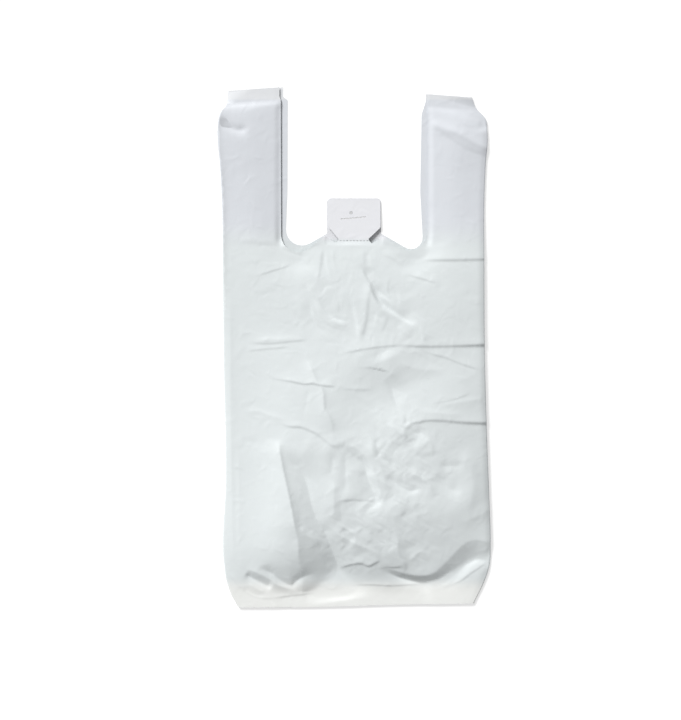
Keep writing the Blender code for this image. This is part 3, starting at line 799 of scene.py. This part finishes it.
def row_places(share):
    """Place along the bag in millimetres for an even share of the rows."""
    return np.interp(share, ROW_SHARES, ROW_PLACES)


along = row_places(row_share)
print("first rows", np.round(row_places(np.arange(4) / ROWS), 1))


# %% Fold the grid into the gusseted tube
FOLD_ROUND = 0.35  # how far in from a folded edge the two films have parted


def strip_shares(count, width):
    """Shares across one strip of film, with the outer columns tucked close to its folded edges."""
    inner = np.linspace(FOLD_ROUND / width, 1 - FOLD_ROUND / width, count - 1)
    return np.concatenate(([0], inner, [1]))


def gusset_points(side, depth, v, upper):
    """Film of a gusset at each depth in from the side fold, on its upper or its lower layer."""
    x, y = as_it_lies(np.full_like(v, side), v)
    fold_top = front_height(np.full_like(v, side), v)
    top, bottom = fold_top - LAYER_STEP, BACK_LEVEL + LAYER_STEP
    middle = (top + bottom) / 2
    inward = depth / GUSSET_DEPTH
    if upper:
        level = top + (middle + LAYER_STEP / 2 - top) * inward
        roof = front_height(side * (1 - depth / np.abs(x)), v) - LAYER_STEP
        level = np.maximum(np.minimum(level, roof), BACK_LEVEL + 2 * LAYER_STEP)
    else:
        level = bottom + (middle - LAYER_STEP / 2 - bottom) * inward
    level = np.where(inward == 1, middle, level)
    edge_level = fold_top - LAYER_STEP / 2 if upper else bottom - LAYER_STEP / 2
    return x - side * depth, y, np.where(depth == 0, edge_level, level)


def strip_points(name, count, place, v):
    """Where the film of one strip lies, for each place across it and each v along it."""
    across = strip_shares(count, FACE_WIDTH)[place]
    if name == "front":
        u = 2 * across - 1
        x, y = as_it_lies(u, v)
        edge = gusset_points(-1, np.zeros_like(v), v, True)[2]
        return x, y, np.where(place == 0, edge, front_height(u, v))
    if name == "back":
        x, y = as_it_lies(1 - 2 * across, v)
        return x, y, np.where(place == 0, BACK_LEVEL + LAYER_STEP / 2, BACK_LEVEL)
    depth = GUSSET_DEPTH * strip_shares(count, GUSSET_DEPTH)[place]
    if name.endswith("out"):
        depth = GUSSET_DEPTH - depth
    side = 1 if name.startswith("right") else -1
    return gusset_points(side, depth, v, name in ("right_in", "left_out"))


folded = np.empty_like(flat_points)
first = 0
for name, count in STRIPS:
    chosen = (column >= first) & (column < first + count)
    here = strip_points(name, count, column[chosen] - first, along[chosen])
    folded[chosen] = np.stack(here, axis=1)
    first += count
film.data.vertices.foreach_set("co", (folded * MM).ravel())
film.data.update()
print("film reaches", np.round(folded.max(axis=0), 1), "mm")

# %% [markdown]
# The first and the last column now lie on each other, and merging them closes the tube. The grid
# was made fine enough for the sharpest crease, so the flat parts hold far more points than they
# need, and a Decimate takes those out. Then the film gets its thickness, half of it to each side.

# %% Close the seam and give the film its thickness
KEPT_SHARE = 0.38  # of the faces
MERGE_DISTANCE = 0.000001  # metres

select_only(film)
bpy.ops.object.mode_set(mode="EDIT")
bpy.ops.mesh.select_all(action="SELECT")
bpy.ops.mesh.remove_doubles(threshold=MERGE_DISTANCE)
bpy.ops.mesh.normals_make_consistent(inside=False)
bpy.ops.object.mode_set(mode="OBJECT")


def apply_modifier(target, name):
    select_only(target)
    bpy.ops.object.modifier_apply(modifier=name)


thinned = film.modifiers.new("fewer_points", "DECIMATE")
thinned.ratio = KEPT_SHARE
apply_modifier(film, "fewer_points")
print(len(film.data.polygons), "faces where the folds need them")

wall = film.modifiers.new("film_wall", "SOLIDIFY")
wall.thickness = FILM * MM
wall.offset = 0.0
apply_modifier(film, "film_wall")
print(len(film.data.polygons), "faces with the wall")

# %% [markdown]
# The dies. Each is a flat outline drawn out into a prism, the way a steel rule die is bent from
# strip. The front film has slid down on the back film, so each film gets a die of its own, and the
# back film shows as a lighter band along the mouth. The hang tab stays standing between the handles
# on two narrow roots, with a notch on each side of it.

# %% Die outlines: (across, along, corner radius)
FRONT_DIE = (
    (-86, 330, 0), (-86, 289, 2), (-84.5, 285, 2), (-84, 88, 20), (-34, 128, 3),
    (-21.5, 120.2, 1.8), (-17.2, 123.6, 1.8), (-26, 134.4, 2), (-30.6, 140, 3), (-30.6, 171, 5),
    (30.6, 171, 5), (30.6, 138, 3), (26.5, 134, 2), (16.2, 124.4, 1.8), (20.5, 119.2, 1.8),
    (34, 128, 3), (84.5, 87, 22), (85, 272, 2), (87, 284, 2), (87, 330, 0),
)
BACK_DIE = (
    (-82, 330, 0), (-82, 289, 2), (-76.6, 285, 2), (-77, 180, 60), (-80, 103, 18.7),
    (-31.2, 131, 1.5), (-31.2, 171.8, 5), (31.2, 171.8, 5), (31.2, 131, 1.5), (80.5, 102.7, 13.4),
    (76.4, 180, 60), (78, 268, 20), (83, 284, 2), (83, 330, 0),
)
DIE_SPLIT = (BACK_LEVEL + TAB_LEVEL) / 2  # the level between the two films of the tab
DIE_REACH, DIE_OVERLAP = 60, 0.01
CORNER_STEPS = 8


def rounded(corners):
    """The closed outline with its corners rounded off by arcs."""
    outline = []
    for i, (x, y, radius) in enumerate(corners):
        here = np.array((x, y), float)
        way_in = here - np.array(corners[i - 1][:2])
        way_out = np.array(corners[(i + 1) % len(corners)][:2]) - here
        way_in, way_out = way_in / np.hypot(*way_in), way_out / np.hypot(*way_out)
        turn = math.atan2(way_in[0] * way_out[1] - way_in[1] * way_out[0], way_in @ way_out)
        if radius == 0 or abs(turn) < 0.001:
            outline.append(tuple(here))
            continue
        start = here - way_in * radius * math.tan(abs(turn) / 2)
        centre = start + np.array((-way_in[1], way_in[0])) * np.sign(turn) * radius
        for step in range(CORNER_STEPS + 1):
            angle = turn * step / CORNER_STEPS
            arm = start - centre
            swung_x = arm[0] * math.cos(angle) - arm[1] * math.sin(angle)
            swung_y = arm[0] * math.sin(angle) + arm[1] * math.cos(angle)
            outline.append((centre[0] + swung_x, centre[1] + swung_y))
    return outline


print(len(rounded(FRONT_DIE)), "points round the front die")


# %% Punch the mouth
def prism(name, outline, low_level, high_level):
    """A closed prism over an outline, between two levels."""
    deselect_all()
    bpy.ops.mesh.primitive_circle_add(vertices=len(outline), radius=1, fill_type="NGON")
    made = bpy.context.object
    made.name = name
    for vertex, (x, y) in zip(made.data.vertices, outline):
        vertex.co = (x * MM, y * MM, low_level * MM)
    bpy.ops.object.mode_set(mode="EDIT")
    bpy.ops.mesh.select_all(action="SELECT")
    rise = (0, 0, (high_level - low_level) * MM)
    bpy.ops.mesh.extrude_region_move(TRANSFORM_OT_translate={"value": rise})
    bpy.ops.mesh.select_all(action="SELECT")
    bpy.ops.mesh.normals_make_consistent(inside=False)
    bpy.ops.object.mode_set(mode="OBJECT")
    return made


def punch(target, tool):
    """Cuts the tool's shape out of the target and throws the tool away."""
    cut = target.modifiers.new("punch", "BOOLEAN")
    cut.object = tool
    cut.operation = "DIFFERENCE"
    cut.solver = "MANIFOLD"
    apply_modifier(target, "punch")
    bpy.data.objects.remove(tool)


punch(film, prism("front_die", rounded(FRONT_DIE), DIE_SPLIT, DIE_REACH))
punch(film, prism("back_die", rounded(BACK_DIE), -DIE_REACH, DIE_SPLIT + DIE_OVERLAP))
print(len(film.data.polygons), "faces after the mouth is punched")

# %% [markdown]
# The hang tab has a slit to hang the pack of bags by, and a hot pin has welded its films together
# round a small hole. A row of short cuts between its two roots lets the bag tear off.

# %% Hang slit, pin hole and perforation
SLIT_FROM, SLIT_TO, SLIT_HALF = (-15.0, 147.6), (13.0, 150.2), 0.6
PIN, PIN_HOLE, PIN_SIDES = (-3.5, 155.0), 1.3, 16
KNIFE_LEVELS = (-5, 20)
PERFORATION_FROM, PERFORATION_TO, PERFORATION_LINE = -15.5, 15.5, 122.6
PERFORATION_CUTS, PERFORATION_TOP = 9, 40
CUT_HALF, CUT_HALF_WIDTH = 0.9, 0.25


def slot(start, end, half_width, steps=4):
    """Outline of a narrow slot with rounded ends."""
    start, end = np.array(start, float), np.array(end, float)
    angle = math.atan2(*(end - start)[::-1])
    outline = []
    for middle, first in ((end, -math.pi / 2), (start, math.pi / 2)):
        for step in range(steps + 1):
            a = angle + first + math.pi * step / steps
            outline.append(tuple(middle + half_width * np.array((math.cos(a), math.sin(a)))))
    return outline


punch(film, prism("slit_knife", slot(SLIT_FROM, SLIT_TO, SLIT_HALF), *KNIFE_LEVELS))
around = np.arange(PIN_SIDES) * math.tau / PIN_SIDES
hole = [(PIN[0] + PIN_HOLE * math.cos(a), PIN[1] + PIN_HOLE * math.sin(a)) for a in around]
punch(film, prism("hot_pin", hole, *KNIFE_LEVELS))
for x in np.linspace(PERFORATION_FROM, PERFORATION_TO, PERFORATION_CUTS):
    ends = ((x - CUT_HALF, PERFORATION_LINE), (x + CUT_HALF, PERFORATION_LINE))
    punch(film, prism("perforator", slot(*ends, CUT_HALF_WIDTH, 2), DIE_SPLIT, PERFORATION_TOP))
print(len(film.data.polygons), "faces after all the cuts")

# %% [markdown]
# White polyethylene film. Chalk in the film makes it white, and where several layers lie on each other it
# is whiter, so the tab and the skirt are given a lighter colour; the skirt's is also painted light, as the
# lower end lies brighter. Toward the handles the white turns faintly lavender and is darkened as painted
# shade, and over the body faintly green. A grey ring round the pin hole is the melted weld and painted
# shade of the hole.

# %% Film material
BODY_WHITE = (0.735, 0.777, 0.783, 1)
# The handle colour is faintly lavender and darker than the body: the darkening is painted shade over the
# handles.
HANDLE_LAVENDER_AND_SHADE = (0.71, 0.735, 0.775, 1)
TAB_WHITE = (0.79, 0.797, 0.825, 1)
# The skirt colour is whiter because several layers lie there, and partly painted light, as the lower end
# of the bag lies brighter.
SKIRT_LAYERS_AND_LIGHT = (0.85, 0.862, 0.842, 1)
TOP_WHITE = (0.765, 0.78, 0.8, 1)
# The grey ring round the pin hole is partly the melted weld and partly painted shade, standing in for the
# dark of the hole.
PIN_MELT_AND_SHADE_GREY = (0.52, 0.53, 0.55, 1)
# Where each tint, painted shade or painted light starts and where it is full, in millimetres.
HANDLE_TINT_AND_SHADE_BAND, SKIRT_LAYERS_AND_LIGHT_BAND, TOP_BAND = (110, 150), (-264, -281), (284, 287)
TAB_BAND_ACROSS, TAB_BAND_ALONG, PIN_MELT_AND_SHADE_BAND = (40, 34), (121, 127), (2.6, 2.0)
CREASE_SCALE, CREASE_DETAIL, CREASE_DISTORTION = 75.0, 3.0, 0.6
CREASE_STRENGTH, CREASE_DEPTH = 0.45, 0.0006  # the depth in metres
FILM_ROUGHNESS, FILM_IOR = 0.42, 1.45
SHARP_ANGLE = 50  # degrees: an edge that bends more than this stays sharp


def place_group(name, output, kind):
    """A node group from a place on the bag to one output, with the sockets at its two ends."""
    group = bpy.data.node_groups.new(name, "ShaderNodeTree")
    group.interface.new_socket("Place", in_out="INPUT", socket_type="NodeSocketVector")
    group.interface.new_socket(output, in_out="OUTPUT", socket_type=kind)
    enter, leave = group.nodes.new("NodeGroupInput"), group.nodes.new("NodeGroupOutput")
    return group, enter.outputs["Place"], leave.inputs[output]


def film_tints_and_painted_light():
    """Group: the film's colour at a place on the bag, in metres, with its painted shade and painted light.
    """
    group, place, result = place_group("film_tints_and_painted_light", "Color", "NodeSocketColor")
    split = add_node(group, "SeparateXYZ", {0: place}).outputs

    def band(source, reach):
        ends = {"Value": source, "From Min": reach[0] * MM, "From Max": reach[1] * MM}
        return add_node(group, "MapRange", ends, interpolation_type="SMOOTHSTEP").outputs["Result"]

    def blend(amount, base, colour):
        return add_node(group, "Mix", {0: amount, 6: base, 7: colour}, data_type="RGBA").outputs[2]

    colour = blend(band(split["Y"], HANDLE_TINT_AND_SHADE_BAND), BODY_WHITE, HANDLE_LAVENDER_AND_SHADE)
    sideways = add_node(group, "Math", {0: split["X"]}, operation="ABSOLUTE").outputs[0]
    both = {0: band(sideways, TAB_BAND_ACROSS), 1: band(split["Y"], TAB_BAND_ALONG)}
    colour = blend(add_node(group, "Math", both, operation="MULTIPLY").outputs[0], colour, TAB_WHITE)
    colour = blend(band(split["Y"], SKIRT_LAYERS_AND_LIGHT_BAND), colour, SKIRT_LAYERS_AND_LIGHT)
    colour = blend(band(split["Y"], TOP_BAND), colour, TOP_WHITE)
    pin = {0: place, 1: (PIN[0] * MM, PIN[1] * MM, TAB_LEVEL * MM)}
    from_pin = add_node(group, "VectorMath", pin, operation="DISTANCE").outputs["Value"]
    group.links.new(blend(band(from_pin, PIN_MELT_AND_SHADE_BAND), colour, PIN_MELT_AND_SHADE_GREY), result)
    return group


def film_crinkle():
    """Group: height of the finest creases, too small to model."""
    group, place, result = place_group("film_crinkle", "Height", "NodeSocketFloat")
    look = {"Vector": place, "Scale": CREASE_SCALE, "Detail": CREASE_DETAIL}
    look["Distortion"] = CREASE_DISTORTION
    creases = add_node(group, "TexNoise", look, noise_type="RIDGED_MULTIFRACTAL")
    group.links.new(creases.outputs["Fac"], result)
    return group


def film_material():
    """White film with its tints, its painted shade and light, and its finest creases."""
    made = bpy.data.materials.new("white_film")
    made.use_nodes = True
    tree = made.node_tree
    place = add_node(tree, "TexCoord", {}).outputs["Object"]
    tints = add_node(tree, "Group", {"Place": place}, node_tree=film_tints_and_painted_light())
    crinkle = add_node(tree, "Group", {"Place": place}, node_tree=film_crinkle())
    bump = {"Strength": CREASE_STRENGTH, "Distance": CREASE_DEPTH, "Height": crinkle.outputs["Height"]}
    feed(tree, tree.nodes["Principled BSDF"], {
        "Roughness": FILM_ROUGHNESS, "IOR": FILM_IOR, "Base Color": tints.outputs["Color"],
        "Normal": add_node(tree, "Bump", bump).outputs["Normal"],
    })
    return made


film.data.materials.clear()
white_film = film_material()
film.data.materials.append(white_film)
select_only(film)
bpy.ops.object.shade_smooth_by_angle(angle=math.radians(SHARP_ANGLE))
print("material", white_film.name)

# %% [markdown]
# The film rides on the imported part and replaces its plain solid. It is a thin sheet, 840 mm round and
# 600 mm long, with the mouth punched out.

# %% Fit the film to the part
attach(film, "root")
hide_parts("carrier_bag")
